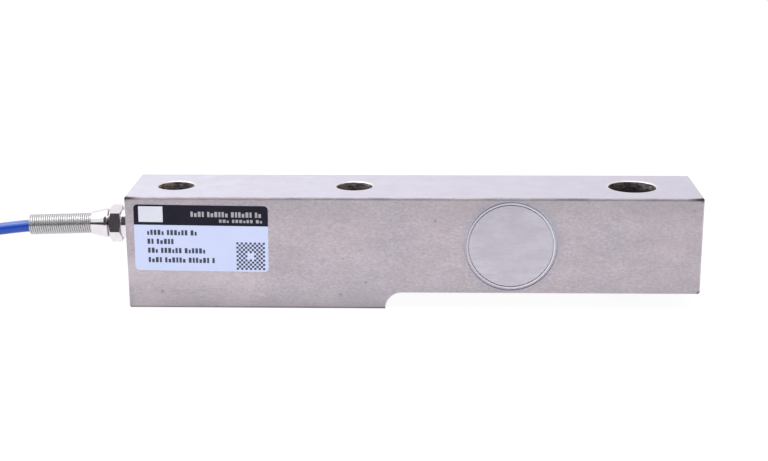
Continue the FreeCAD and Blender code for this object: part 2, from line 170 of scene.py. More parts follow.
# Label: its size and place, its header band and its ink
label_length_mm = 47.5
label_height_mm = 24.2
label_middle_mm = (-21.3, -17.0, 26.0)
label_thickness_mm = 0.15
label_corner_mm = 1.5
label_tilt = 0.69
header_height_mm = 7.4
ink_thickness_mm = 0.02

# The label's bare field: left, right, top and bottom, from the label's left and upper edges
field_mm = (1.7, 10.3, 0.65, 6.35)

# Rows of bars: start, end and top from the same edges, height, and a number that shifts their pattern
header_rows = (
    (20.2, 45.4, 2.35, 1.9, 1),
    (30.2, 45.4, 5.1, 1.15, 2),
)
body_rows = (
    (4.6, 22.6, 9.2, 1.9, 0),
    (4.6, 13.8, 12.5, 1.9, 3),
    (4.7, 25.2, 15.8, 1.9, 2),
    (4.8, 28.6, 19.3, 1.9, 1),
)
bar_width_mm = 0.72
bar_extra_width_mm = 0.28
bar_gap_mm = 0.42
low_bar_share = 0.72
word_gap_mm = 0.75
bars_a_word = 6
row_rest_mm = 0.6

# The label's checker, with its distances from the label's right and lower edges
checker_cell_mm = 0.78
checker_cells = 13
checker_right_mm = 1.2
checker_low_mm = 0.7

# Floor and world: white to the camera and in reflections, and plain soft light on the object
floor_size_mm = 8000.0
floor_colour = (0.92, 0.92, 0.93)
floor_glow = 0.87
floor_white = 1.06
world_colour = (1.0, 1.0, 1.0)
world_strength = 0.82

# Lamps: place, aim and size in millimetres, and power in watts
lamps = {
    "top_softbox": ((-560, 150, 800), (0, 0, 0), (1200, 900), 2.4),
    "strip_light": ((-100, -150, 900), (-50, 0, 0), (1700, 90), 3.4),
}

# Upright cards: left, right, lower and upper edge and place in Y in millimetres, and their grey
cards = {
    "camera_shade": (-350, -20, 1, 1400, -600, 0.05),
    "table_edge": (-1200, 1200, 1, 290, -640, 0.04),
    "room": (-650, 650, 1, 900, -900, 0.35),
    "rear_edge": (-1200, 1200, 1, 80, 700, 0.05),
}


def add(tree, kind, inputs=None, **settings):
    """A shader node with its settings and inputs; an input is a value or another node's output."""
    node = tree.nodes.new(kind)
    for name, value in settings.items():
        setattr(node, name, value)
    for name, value in (inputs or {}).items():
        if isinstance(value, bpy.types.NodeSocket):
            tree.links.new(value, node.inputs[name])
        else:
            node.inputs[name].default_value = value
    return node


def new_material(name, **inputs):
    """A material with one Principled shader, its plain inputs set on the shader itself."""
    material = bpy.data.materials.new(name)
    material.use_nodes = True
    shader = material.node_tree.nodes["Principled BSDF"]
    for key, value in inputs.items():
        shader.inputs[key.replace("_", " ")].default_value = value
    return material, material.node_tree, shader


def surface(tree, shader, tint, relief, roughness=None, strength=0.3, depth_mm=0.01):
    """Lead a colour, a fine relief and, where it varies, a roughness into the shader."""
    bump = add(tree, "ShaderNodeBump", {"Height": relief, "Strength": strength, "Distance": mm(depth_mm)})
    tree.links.new(tint, shader.inputs["Base Color"])
    tree.links.new(bump.outputs["Normal"], shader.inputs["Normal"])
    if roughness is not None:
        tree.links.new(roughness, shader.inputs["Roughness"])


def colour(red, green, blue):
    return (red, green, blue, 1.0)


def place(tree, stretch=(1, 1, 1)):
    """Places on the object in metres, stretched along the axes."""
    coordinates = add(tree, "ShaderNodeTexCoord").outputs["Object"]
    inputs = {"Vector": coordinates, "Scale": stretch}
    return add(tree, "ShaderNodeMapping", inputs).outputs["Vector"]


def parts_of(tree, vector, axes):
    """A vector's values along each of the named axes."""
    outputs = add(tree, "ShaderNodeSeparateXYZ", {"Vector": vector}).outputs
    return [outputs[axis] for axis in axes]


def facing(tree, axis):
    """How far the surface faces along an axis, from -1 to 1."""
    normal = add(tree, "ShaderNodeNewGeometry").outputs["Normal"]
    return parts_of(tree, normal, axis)[0]


def spread(tree, value, low, high, out_low=0.0, out_high=1.0):
    """A value stretched from one range to another and kept within it."""
    inputs = {"Value": value, "From Min": low, "From Max": high, "To Min": out_low, "To Max": out_high}
    return add(tree, "ShaderNodeMapRange", inputs).outputs["Result"]


def between(tree, share, low, high):
    """From low to high as a share goes from 0 to 1."""
    return spread(tree, share, 0, 1, low, high)


def noise(tree, vector, scale, detail=3, roughness=0.5):
    inputs = {"Vector": vector, "Scale": scale, "Detail": detail, "Roughness": roughness}
    return add(tree, "ShaderNodeTexNoise", inputs).outputs["Fac"]


def patches(tree, scale, low, high, detail=3, roughness=0.5, stretch=(1, 1, 1)):
    """Noise over the object: 0 where it is below low, 1 where it is above high."""
    return spread(tree, noise(tree, place(tree, stretch), scale, detail, roughness), low, high)


def mixed(tree, share, first, second):
    """Two colours mixed by a share."""
    inputs = {0: share, 6: first, 7: second}
    return add(tree, "ShaderNodeMix", inputs, data_type="RGBA").outputs[2]


def calc(tree, operation, first, *others):
    """An operation on one value, or carried on over several values in turn."""
    for other in others or (0.0,):
        first = add(tree, "ShaderNodeMath", {0: first, 1: other}, operation=operation).outputs[0]
    return first


def distance(tree, first, second):
    return add(tree, "ShaderNodeVectorMath", {0: first, 1: second}, operation="DISTANCE").outputs["Value"]


def from_axis(tree, position, centre, across):
    """The distance from an axis through a centre; across has a one for each direction across it."""
    flat = add(tree, "ShaderNodeVectorMath", {0: position, 1: across}, operation="MULTIPLY")
    return distance(tree, flat.outputs[0], centre)


def near_point(tree, position, point, reach_mm):
    """1 within three tenths of the reach from a point, fading to 0 at the reach."""
    return spread(tree, distance(tree, position, point), mm(reach_mm * 0.3), mm(reach_mm), 1, 0)


def on_top(tree):
    """1 where the surface faces up."""
    return spread(tree, facing(tree, "Z"), 0.9, 0.99)


def steel_grain(tree, position):
    """Fine matt steel: soft clouds of two tints, short streaks along the beam, grain and a few specks."""
    warm = colour(0.860, 0.745, 0.810)
    cool = colour(0.800, 0.740, 0.825)
    dark = colour(0.40, 0.355, 0.39)
    speck_tint = colour(0.10, 0.09, 0.10)
    slant = {"Vector": position, "Rotation": (0.05, 0.14, 0.05), "Scale": (1, 2.3, 2.3)}
    slanted = add(tree, "ShaderNodeMapping", slant).outputs["Vector"]
    clouds = patches(tree, 38, 0.34, 0.66, 5, 0.6, (1, 1.5, 1.5))
    swathes = patches(tree, 34, 0.36, 0.64, 4, 0.58, (1, 2.6, 2.6))
    blotches = patches(tree, 150, 0.32, 0.68, 4, 0.62, (1, 1.8, 1.8))
    streaks = spread(tree, noise(tree, slanted, 820, 3, 0.62), 0.34, 0.66)
    grain = patches(tree, 1900, 0.3, 0.7, 2, 0.6, (0.7, 1, 1))
    tint = mixed(tree, clouds, warm, cool)
    for pattern, share in ((swathes, 0.22), (blotches, 0.22), (streaks, 0.40), (grain, 0.28)):
        tint = mixed(tree, between(tree, pattern, 0, share), tint, dark)
    cells = add(tree, "ShaderNodeTexVoronoi", {"Vector": position, "Scale": 110, "Randomness": 1.0})
    speck = spread(tree, cells.outputs["Distance"], 0.03, 0.085, 0.45, 0.0)
    few = patches(tree, 60, 0.41, 0.49, 0)
    tint = mixed(tree, calc(tree, "MULTIPLY", speck, few), tint, speck_tint)
    roughness = calc(tree, "ADD", between(tree, clouds, 0.40, 0.48), between(tree, streaks, 0, 0.08))
    relief = calc(tree, "ADD", calc(tree, "MULTIPLY", streaks, 0.6), calc(tree, "MULTIPLY", grain, 0.4))
    return tint, relief, roughness


def with_painted_shade_zones(tree, tint, position):
    """Painted shade: darker near the underside, the upper edge, the load end and the left edge's foot."""
    # The colour of the painted shade
    shade_tint = colour(0.40, 0.37, 0.40)
    low_zone, low_zone_left, high_zone, end_zone = mm(9), mm(25), mm(11), mm(50)
    edge_full, edge_reach = beam_low.x + mm(0.6), beam_low.x + mm(2.6)
    foot_full, foot_reach = mm(7), mm(11)
    x, z = parts_of(tree, position, "XZ")
    free_part = calc(tree, "GREATER_THAN", x, mm(step_mm))
    above = calc(tree, "SUBTRACT", z, calc(tree, "MULTIPLY", free_part, mm(step_height_mm)))
    low = calc(tree, "POWER", spread(tree, above, low_zone, 0.0), 1.6)
    low = calc(tree, "MULTIPLY", low, spread(tree, x, beam_low.x, beam_low.x + low_zone_left, 0.55, 0.85),
               between(tree, free_part, 1.0, 0.3))
    high = spread(tree, z, beam_high.z - high_zone, beam_high.z, 0.0, 0.20)
    end = spread(tree, x, beam_high.x - end_zone, beam_high.x, 0.015, 0.20)
    left = calc(tree, "MULTIPLY", spread(tree, x, edge_reach, edge_full, 0.0, 0.30),
                spread(tree, z, foot_reach, foot_full))
    share = calc(tree, "ADD", calc(tree, "MAXIMUM", low, high), end, left)
    return mixed(tree, share, tint, shade_tint)


def with_paler_patch(tree, tint, position):
    """Paler below the label."""
    pale_tint = colour(1.0, 0.90, 0.95)
    bottom, bottom_full = mm(6.5), mm(11)
    top, top_full = mm(22), mm(16)
    right, right_full = mm(6), mm(-16)
    x, z = parts_of(tree, position, "XZ")
    lighter_share = calc(tree, "MULTIPLY", spread(tree, z, bottom, bottom_full), spread(tree, z, top, top_full),
                 spread(tree, x, right, right_full, 0.0, 0.28))
    return mixed(tree, lighter_share, tint, pale_tint)


def with_painted_top_light(tree, tint, position):
    """Painted light: the top is paler, as light falls from above, more so to the left, with wide soft
    veils.
    """
    left_tint = colour(0.775, 0.765, 0.887)
    right_tint = colour(0.655, 0.63, 0.748)
    veil_tint = colour(0.55, 0.50, 0.58)
    x = parts_of(tree, position, "X")[0]
    painted_top_tint = mixed(tree, spread(tree, x, beam_low.x, beam_high.x), left_tint, right_tint)
    veils = patches(tree, 120, 0.34, 0.66, 5, 0.68, (1, 1.1, 1))
    painted_top_tint = mixed(tree, between(tree, veils, 0, 0.34), painted_top_tint, veil_tint)
    # The painted light goes where the surface faces up
    return mixed(tree, calc(tree, "MULTIPLY", on_top(tree), 0.82), tint, painted_top_tint)


def with_painted_edge_shade(tree, tint, position):
    """Ragged dark lines of painted shade along the long sides' upper and lower edges, and painted shade at
    the corners.
    """
    edge_shade_tint = colour(0.17, 0.165, 0.18)
    corner_shade_tint = colour(0.02, 0.02, 0.02)
    line_low, line_full, line_high = (beam_high.z - mm(below_top_mm) for below_top_mm in (1.2, 0.5, 0.3))
    foot_reach, foot_full = mm(0.9), mm(0.5)
    side_depth, paler_left = mm(0.52), mm(90)
    x, y, z = parts_of(tree, position, "XYZ")
    upper = calc(tree, "MINIMUM", spread(tree, z, line_low, line_full),
                 spread(tree, z, beam_high.z, line_high, 0.35, 1.0))
    lower = spread(tree, z, foot_reach, foot_full)
    long_side = calc(tree, "GREATER_THAN", calc(tree, "ABSOLUTE", y), beam_high.y - side_depth)
    line = calc(tree, "MULTIPLY", calc(tree, "MAXIMUM", upper, lower), long_side)
    ragged = between(tree, patches(tree, 75, 0.34, 0.66, 4, 0.6, (1, 0.3, 0.3)), 0.66, 1.0)
    ragged = calc(tree, "MULTIPLY", ragged, spread(tree, x, beam_low.x, beam_low.x + paler_left, 0.68, 1.0))
    # Painted shade along the edges, then at the corners
    tint = mixed(tree, calc(tree, "MULTIPLY", line, ragged), tint, edge_shade_tint)
    for corner, reach_mm in shaded_corners:
        beside = calc(tree, "MULTIPLY", line, near_point(tree, position, corner, reach_mm * 3))
        share = calc(tree, "MAXIMUM", near_point(tree, position, corner, reach_mm), beside)
        tint = mixed(tree, share, tint, corner_shade_tint)
    return tint


def with_cover_weld(tree, tint, position):
    """Round each cover a bright bead of painted highlight, brightest to the right, a groove painted paler
    over its shade, and a bluish heat tint outside it.
    """
    heat_tint = colour(0.43, 0.44, 0.53)
    groove_light_tint = colour(0.74, 0.73, 0.84)
    bead_highlight_tint = colour(0.92, 0.93, 1.0)
    heat_outer, heat_inner = mm(19.5), mm(16)
    highlight_reach_mm = 15
    x = parts_of(tree, position, "X")[0]
    away = from_axis(tree, position, mm(*cover_middle_mm), (1, 0, 1))
    uneven = between(tree, patches(tree, 130, 0.36, 0.62, 4, 0.6), 0.15, 1.0)
    heat = calc(tree, "MULTIPLY", spread(tree, away, heat_outer, heat_inner, 0.0, 0.5), uneven,
                calc(tree, "SUBTRACT", 1.0, on_top(tree)))
    tint = mixed(tree, heat, tint, heat_tint)
    # The groove is painted paler, as light over its shade
    groove = calc(tree, "LESS_THAN", away, mm(cover_bead_outer_mm + cover_groove_mm))
    tint = mixed(tree, calc(tree, "MULTIPLY", groove, 0.6), tint, groove_light_tint)
    # The bead's painted highlight, brightest to the right
    bead = calc(tree, "LESS_THAN", away, mm(cover_bead_outer_mm))
    bead_highlight_share = spread(tree, x, mm(cover_middle_mm[0] - highlight_reach_mm),
                   mm(cover_middle_mm[0] + highlight_reach_mm), 0.2, 0.95)
    return mixed(tree, calc(tree, "MULTIPLY", bead, bead_highlight_share), tint, bead_highlight_tint)


def with_hole_walls(tree, tint, position):
    """Holes have a bright rim, and bores with turned rings; painted shade makes them darker further in and
    to the left.
    """
    rim_tint = colour(0.77, 0.755, 0.745)
    ring_tint = colour(0.06, 0.05, 0.05)
    deep_shade_tint = colour(0.06, 0.053, 0.063)
    deep, shallow, rim_depth = (beam_high.z - mm(below_top_mm) for below_top_mm in (4.4, 1.2, 0.45))
    rim_outer_mm, rim_inner_mm, bore_margin_mm = 0.8, 0.55, 0.05
    z = parts_of(tree, position, "Z")[0]
    rings = patches(tree, 420, 0.38, 0.60, 4, 0.75, (1, 1, 3))
    side = spread(tree, facing(tree, "X"), 0.7, -0.9)
    open_light = spread(tree, z, deep, shallow)
    at_top = calc(tree, "GREATER_THAN", z, rim_depth)
    for hole_x, radius, left, right in holes:
        away = from_axis(tree, position, mm(hole_x, 0, 0), (1, 1, 0))
        rim = spread(tree, away, mm(radius + rim_outer_mm), mm(radius + rim_inner_mm), 0.0, 0.9)
        tint = mixed(tree, calc(tree, "MULTIPLY", at_top, rim), tint, rim_tint)
        left_tint = colour(left, left * 0.82, left * 0.78)
        right_tint = colour(right, right * 0.91, right * 0.94)
        wall = mixed(tree, rings, ring_tint, mixed(tree, side, left_tint, right_tint))
        # Painted shade: the bore darker further in
        wall = mixed(tree, open_light, deep_shade_tint, wall)
        inside = calc(tree, "LESS_THAN", away, mm(radius + bore_margin_mm))
        tint = mixed(tree, inside, tint, wall)
    return tint


def beam_steel():
    """Ground steel with the tints, painted light and painted shade of its sides, top, edges, welds and
    holes.
    """
    material, tree, shader = new_material("beam_steel", Metallic=0.9)
    position = place(tree)
    tint, relief, roughness = steel_grain(tree, position)
    for change in (with_painted_shade_zones, with_paler_patch, with_painted_top_light, with_painted_edge_shade, with_cover_weld,
                   with_hole_walls):
        tint = change(tree, tint, position)
    surface(tree, shader, tint, relief, roughness, strength=0.5, depth_mm=0.05)
    return material


def cover_steel():
    """The welded covers: a little bluer and smoother, with fine straight brushing."""
    material, tree, shader = new_material("cover_steel", Metallic=0.9)
    brushing = patches(tree, 330, 0.3, 0.7, 4, 0.7, (1, 14, 14))
    clouds = patches(tree, 95, 0.35, 0.65, 4, 0.6, (1, 2, 2))
    tint = mixed(tree, clouds, colour(0.625, 0.580, 0.670), colour(0.715, 0.68, 0.755))
    tint = mixed(tree, between(tree, brushing, 0, 0.34), tint, colour(0.42, 0.41, 0.48))
    surface(tree, shader, tint, brushing, between(tree, brushing, 0.34, 0.46), depth_mm=0.02)
    return material


def plated_metal():
    """Bright nickel plate with faint turning marks."""
    material, tree, shader = new_material("plated_metal", Metallic=1.0)
    marks = noise(tree, place(tree, (9, 1, 1)), 600, 2, 0.6)
    smears = patches(tree, 260, 0.3, 0.7)
    tint = mixed(tree, smears, colour(0.850, 0.800, 0.835), colour(0.775, 0.735, 0.785))
    surface(tree, shader, tint, marks, between(tree, smears, 0.07, 0.15), strength=0.12, depth_mm=0.02)
    return material


def spring_steel():
    """Drawn stainless wire, its draw marks running round the turns."""
    material, tree, shader = new_material("spring_steel", Metallic=1.0)
    marks = patches(tree, 900, 0.3, 0.7, 3, 0.6, (6, 1, 1))
    tint = mixed(tree, marks, colour(0.68, 0.665, 0.68), colour(0.54, 0.53, 0.545))
    surface(tree, shader, tint, marks, between(tree, marks, 0.23, 0.33), strength=0.2)
    return material


def bare_metal(name, tint, darker, roughness):
    material, tree, shader = new_material(name, Metallic=1.0)
    grain = patches(tree, 1500, 0.3, 0.7)
    rough = between(tree, grain, roughness - 0.08, roughness + 0.08)
    surface(tree, shader, mixed(tree, grain, colour(*tint), colour(*darker)), grain, rough)
    return material


def plastic(name, tint, darker, roughness, grain_scale=1400, grain_depth_mm=0.01, coat=0.0, specular=0.5,
            rough_swing=0.06, top_highlight=None):
    """A moulded or extruded skin: two close tints, a fine grain, and a painted highlight where it faces up.
    """
    material, tree, shader = new_material(name, Coat_Weight=coat, Specular_IOR_Level=specular)
    skin = mixed(tree, patches(tree, 120, 0.35, 0.65), colour(*tint), colour(*darker))
    if top_highlight:
        # Painted highlight where the surface faces up
        highlight_share = spread(tree, facing(tree, "Z"), 0.35, 0.75, 0.0, 0.22)
        skin = mixed(tree, highlight_share, skin, colour(*top_highlight))
    grain = noise(tree, place(tree), grain_scale, 3, 0.6)
    rough = spread(tree, grain, 0.3, 0.7, roughness - rough_swing, roughness + rough_swing)
    surface(tree, shader, skin, grain, rough, strength=0.25, depth_mm=grain_depth_mm)
    return material


def woven(name, tint, darker):
    """A narrow hook and loop strap: close ribs across and a fuzz of loops."""
    material, tree, shader = new_material(name, Sheen_Weight=0.4, Roughness=0.85)
    inputs = {"Vector": place(tree), "Scale": 380, "Distortion": 1.5, "Detail": 2}
    ribs = add(tree, "ShaderNodeTexWave", inputs, bands_direction="X").outputs["Fac"]
    fuzz = noise(tree, place(tree), 2200, 3, 0.7)
    relief = calc(tree, "ADD", calc(tree, "MULTIPLY", ribs, 0.6), fuzz)
    tint = mixed(tree, fuzz, colour(*tint), colour(*darker))
    surface(tree, shader, tint, relief, strength=0.7, depth_mm=0.1)
    return material


def make_materials():
    return {
        "beam": beam_steel(),
        "cover": cover_steel(),
        "plated": plated_metal(),
        "spring": spring_steel(),
        "cable": plastic("cable_jacket", (0.002, 0.060, 0.46), (0.001, 0.049, 0.40), 0.23, coat=0.25,
                         specular=0.4, rough_swing=0.05, top_highlight=(0.50, 0.62, 1.0)),
        "label": plastic("label_film", (0.650, 0.715, 0.985), (0.635, 0.700, 0.970), 0.42, 900),
        "header": plastic("label_header", (0.010, 0.009, 0.024), (0.007, 0.006, 0.018), 0.42, 900,
                          specular=0.22),
        "dark_ink": plastic("dark_ink", (0.045, 0.055, 0.095), (0.035, 0.04, 0.08), 0.4, 900),
        "pale_ink": plastic("pale_ink", (0.76, 0.77, 0.86), (0.72, 0.73, 0.84), 0.4, 900),
        "grey_ink": plastic("grey_ink", (0.42, 0.42, 0.46), (0.36, 0.36, 0.40), 0.4, 900),
        "tie": woven("tie_strap", (0.022, 0.022, 0.024), (0.05, 0.05, 0.055)),
        "red": plastic("red_insulation", (0.55, 0.02, 0.02), (0.45, 0.015, 0.015), 0.4),
        "black": plastic("black_insulation", (0.02, 0.02, 0.022), (0.03, 0.03, 0.03), 0.42),
        "green": plastic("green_insulation", (0.015, 0.30, 0.06), (0.012, 0.24, 0.05), 0.4),
        "white": plastic("white_insulation", (0.78, 0.78, 0.76), (0.72, 0.72, 0.70), 0.42),
        "tinned": bare_metal("tinned_wire", (0.72, 0.72, 0.73), (0.55, 0.55, 0.56), 0.32),
        "solder": bare_metal("solder_tin", (0.78, 0.78, 0.79), (0.62, 0.62, 0.63), 0.25),
        "foil": bare_metal("gauge_foil", (0.72, 0.52, 0.32), (0.62, 0.44, 0.26), 0.3),
        "enamel": bare_metal("enamelled_wire", (0.60, 0.22, 0.08), (0.48, 0.16, 0.05), 0.3),
        "film": plastic("polyimide_film", (0.62, 0.30, 0.05), (0.55, 0.26, 0.04), 0.3, coat=0.3),
        "board": plastic("circuit_board", (0.02, 0.16, 0.06), (0.015, 0.12, 0.045), 0.35, 700, 0.03, 0.2),
        "strip": plastic("terminal_strip", (0.55, 0.48, 0.26), (0.48, 0.42, 0.22), 0.5, 700, 0.03),
        "resistor": plastic("resistor_body", (0.03, 0.03, 0.032), (0.045, 0.045, 0.05), 0.45),
        "bobbin": plastic("bobbin_body", (0.10, 0.12, 0.16), (0.08, 0.09, 0.12), 0.45),
        "rubber": plastic("seal_rubber", (0.02, 0.02, 0.02), (0.03, 0.03, 0.03), 0.7, 900, 0.03),
    }


cad_materials = {
    "beam_body": "beam",
    "front_pocket_cover": "cover",
    "rear_pocket_cover": "cover",
    "gland_collar": "plated",
    "gland_body": "plated",
    "gland_cap": "plated",
    "pressure_ring": "plated",
    "cable_seal": "rubber",
    "front_gauge_film": "film",
    "rear_gauge_film": "film",
    "front_gauge_foil": "foil",
    "rear_gauge_foil": "foil",
    "front_terminal_strip": "strip",
    "rear_terminal_strip": "strip",
    "compensation_board": "board",
    "zero_trim_resistor": "resistor",
    "span_trim_resistors": "resistor",
    "temperature_resistors": "bobbin",
    "board_solder_joints": "solder",
    "front_gauge_wires": "enamel",
    "rear_gauge_wires": "enamel",
    "inner_core_red": "red",
    "inner_core_black": "black",
    "inner_core_green": "green",
    "inner_core_white": "white",
}


def dress_cad_nodes():
    for node, key in cad_materials.items():
        for slot in nodes[node].material_slots:
            slot.material = materials[key]


def new_object(name, data):
    """An object of the scene with its data."""
    obj = bpy.data.objects.new(name, data)
    bpy.context.collection.objects.link(obj)
    return obj


def make_camera():
    data = bpy.data.cameras.new("camera")
    data.lens = camera_lens_mm
    data.sensor_width = camera_sensor_mm
    data.clip_start = mm(camera_nearest_mm)
    data.clip_end = mm(camera_furthest_mm)
    camera = new_object("camera", data)
    camera.location = mm(*camera_place_mm)
    camera.rotation_euler = [math.radians(angle) for angle in (camera_tilt, camera_roll, camera_turn)]
    bpy.context.scene.camera = camera


def own_piece(obj, material, slot, *replaced):
    """A piece of this scene: its material, its body and the nodes that it stands for; the record slot is
    not used.
    """
    obj.data.materials.append(material)
    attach(obj, "root")
    if replaced:
        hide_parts(*replaced)
    return obj


def wire_object(name, radius_mm, *routes_mm, sides=12, steps=6):
    """Round wires with closed ends, each a smooth spline that its control points lead."""
    data = bpy.data.curves.new(name, "CURVE")
    data.dimensions = "3D"
    data.bevel_depth = mm(radius_mm)
    data.bevel_resolution = sides // 4
    data.use_fill_caps = True
    data.resolution_u = steps
    for route_mm in routes_mm:
        spline = data.splines.new("NURBS")
        spline.points.add(len(route_mm) - 1)
        for control, point in zip(spline.points, route_mm):
            control.co = (*mm(*point), 1)
        spline.order_u = 3
        spline.use_endpoint_u = True
    return new_object(name, data)


def mesh_object(name, build):
    """A mesh made by a function that fills a bmesh."""
    bm = bmesh.new()
    build(bm)
    bmesh.ops.recalc_face_normals(bm, faces=bm.faces)
    mesh = bpy.data.meshes.new(name)
    bm.to_mesh(mesh)
    bm.free()
    return new_object(name, mesh)


def bridge(bm, first, second):
    """Faces between two closed rings of vertices."""
    for number in range(len(first)):
        following = (number + 1) % len(first)
        bm.faces.new((first[number], second[number], second[following], first[following]))


def add_prism(bm, first, second):
    """A closed solid between two outlines with as many points, given as places in metres."""
    rings = [[bm.verts.new(point) for point in outline] for outline in (first, second)]
    bm.faces.new(rings[0])
    bm.faces.new(rings[1][::-1])
    bridge(bm, *rings)


def box_outline(low_u, low_v, high_u, high_v, corners=(0, 0, 0, 0), steps=8):
    """A box's outline with a radius at each corner: lower left, lower right, upper right, upper left."""
    sharp_corners = ((low_u, low_v, 1, 1), (high_u, low_v, -1, 1),
                     (high_u, high_v, -1, -1), (low_u, high_v, 1, -1))
    points = []
    for number, ((u, v, inward_u, inward_v), radius) in enumerate(zip(sharp_corners, corners)):
        if radius == 0:
            points.append((u, v))
            continue
        for step in range(steps + 1):
            angle = math.pi * (1 + number / 2 + step / steps / 2)
            arc_u = u + inward_u * radius + radius * math.cos(angle)
            arc_v = v + inward_v * radius + radius * math.sin(angle)
            points.append((arc_u, arc_v))
    return points


def smooth_step(share):
    share = min(max(share, 0), 1)
    return share * share * (3 - 2 * share)


def coil_turns():
    """Each turn's column, from the innermost, and layer: from the top down, to and fro."""
    turns = []
    outward = False
    for layer in range(coil_layers - 1, -1, -1):
        columns = list(range(coil_columns))
        turns += [(column, layer) for column in (columns if outward else columns[::-1])]
        outward = not outward
    return turns


def swing(change):
    """How far aside, in spacings, a turn that changes its layer keeps clear of the turns it passes."""
    return max(math.sqrt(1 - change ** 2) - 1 + change, math.sqrt(1 - (1 - change) ** 2) - change)


def tie_lift(along):
    """How far the turns are lifted over the tie's lower strap, by their place along the run."""
    return tie_thickness_mm * (1 - smooth_step((abs(along - 0.5) - tie_flat_share) / tie_ramp_share))


def coil_point(column, layer, x, side, bow, lift):
    """A point on a straight run; side is -1 on the front run and 1 on the rear one."""
    radius = coil_fold_radius_mm + column * coil_spacing_mm + bow
    z = cable_diameter_mm / 2 + layer * coil_spacing_mm + lift
    return (x, coil_middle_y_mm + side * radius, z)


def coil_run(first, second, side):
    """The control points of one run, which moves from one column and layer to another."""
    points = []
    for number in range(coil_run_points):
        along = (number + 0.5) / coil_run_points
        change = smooth_step(along)
        column = first[0] + (second[0] - first[0]) * change
        layer = first[1] + (second[1] - first[1]) * change
        if first[1] != second[1]:
            column += swing(change) * (1 if first[0] else -1)
        shift = coil_layer_shift_mm[first[1]] * (1 - change) + coil_layer_shift_mm[second[1]] * change
        x = coil_right_mm + shift - coil_run_mm * (along if side < 0 else 1 - along)
        bow = coil_bow_mm * math.sin(math.pi * along)
        points.append(coil_point(column, layer, x, side, bow, tie_lift(along)))
    return points


def coil_fold(turn, side):
    """The control points of one fold, square round the half circle; side is -1 at the left end."""
    step = math.pi / coil_fold_points
    radius = (coil_fold_radius_mm + turn[0] * coil_spacing_mm) / math.cos(step / 2)
    centre_x = coil_right_mm + coil_layer_shift_mm[turn[1]] - (coil_run_mm if side < 0 else 0)
    z = cable_diameter_mm / 2 + turn[1] * coil_spacing_mm
    points = []
    for number in range(coil_fold_points):
        angle = (number + 0.5) * step
        x = centre_x + side * radius * math.sin(angle)
        y = coil_middle_y_mm + side * radius * math.cos(angle)
        points.append((x, y, z))
    return points


def coil_points():
    """The coil's turns: front run, left fold, rear run with its change of place, right fold."""
    turns = coil_turns()
    points = []
    for number, turn in enumerate(turns):
        front = coil_run(turn, turn, -1)
        if number == 0:
            front = [point for point in front if point[0] < cable_route_mm[-1][0] - coil_entry_mm]
        points += front
        if number < len(turns) - 1:
            following = turns[number + 1]
            points += coil_fold(turn, -1)
            points += coil_run(turn, following, 1)
            points += coil_fold(following, 1)
    return points


def make_cable():
    route = cable_route_mm + coil_points() + tail_route_mm
    cable = wire_object("cable", cable_diameter_mm / 2, route, sides=20)
    own_piece(cable, materials["cable"], "cable_jacket", "cable_tube", "cable_coil", "cable_tail")
    return cable


def lead_route(across, up, fan):
    """A lead's control points: out of the jacket's end, down to the floor and out into the fan."""
    start = Vector(tail_route_mm[-1])
    ahead = (start - Vector(tail_route_mm[-2])).normalized()
    side = ahead.cross(Vector((0, 0, 1)))
    offset = side * across * lead_offset_mm + Vector((0, 0, up * lead_offset_mm))
    inside = start + offset - ahead * lead_overlap_mm
    straight = inside + ahead * (lead_straight_mm + lead_overlap_mm)
    floor = Vector((start.x, start.y, lead_radius_mm))
    down = floor + ahead * lead_drop_mm + side * fan * lead_near_fan_mm
    end = floor + ahead * (lead_length_mm - abs(fan)) + side * fan * lead_fan_mm
    return [inside, straight, down, end]


def drain_routes(route_mm):
    """The routes of the drain's strands, twisted round each other along the lead's route."""
    guide = wire_object("guide", 0, route_mm, sides=4, steps=24)
    guide_mesh = bpy.data.meshes.new_from_object(guide)
    line = [vertex.co * 1000 for vertex in guide_mesh.vertices]
    bpy.data.objects.remove(guide)
    bpy.data.meshes.remove(guide_mesh)
    routes = []
    for strand in range(drain_strands):
        points = []
        for number in range(drain_points + 1):
            along = number / drain_points * (len(line) - 1)
            at = min(int(along), len(line) - 2)
            centre = line[at].lerp(line[at + 1], along - at)
            ahead = (line[at + 1] - line[at]).normalized()
            side = ahead.cross(Vector((0, 0, 1))).normalized()
            up = side.cross(ahead)
            angle = 2 * math.pi * (drain_twists * number / drain_points + strand / drain_strands)
            points.append(centre + (side * math.cos(angle) + up * math.sin(angle)) * drain_twist_radius_mm)
        routes.append(points)
    return routes


def make_leads():
    pieces = []
    for name, (across, up, fan) in leads.items():
        route = lead_route(across, up, fan)
        end = route[-1]
        onward = (end - route[-2]).normalized()
        if name == "shield":
            routes = drain_routes(route + [end + onward * lead_tip_mm])
            drain = wire_object("shield_drain", drain_strand_radius_mm, *routes, sides=8, steps=2)
            pieces.append(own_piece(drain, materials["tinned"], "braid_wire", "lead_shield"))
            continue
        lead = wire_object("insulated_lead_" + name, lead_radius_mm, route, steps=8)
        own_piece(lead, materials[name], name + "_insulation", "lead_" + name)
        tip_route = [end + onward * along for along in (-lead_overlap_mm, lead_tip_mm / 2, lead_tip_mm)]
        tip = wire_object("tinned_tip_" + name, lead_tip_radius_mm, tip_route, steps=3)
        own_piece(tip, materials["tinned"], "braid_wire")
        pieces += [lead, tip]
    return pieces


def ground_flat(bm, point, direction):
    """Cut off what lies beyond a plane and close the cut, as a spring's end is ground flat."""
    everything = bm.verts[:] + bm.edges[:] + bm.faces[:]
    cut = bmesh.ops.bisect_plane(bm, geom=everything, dist=1e-8, plane_co=point, plane_no=direction,
                                 clear_outer=True)["geom_cut"]
    rim = [piece for piece in cut if isinstance(piece, bmesh.types.BMEdge)]
    bmesh.ops.triangle_fill(bm, use_beauty=True, edges=rim)


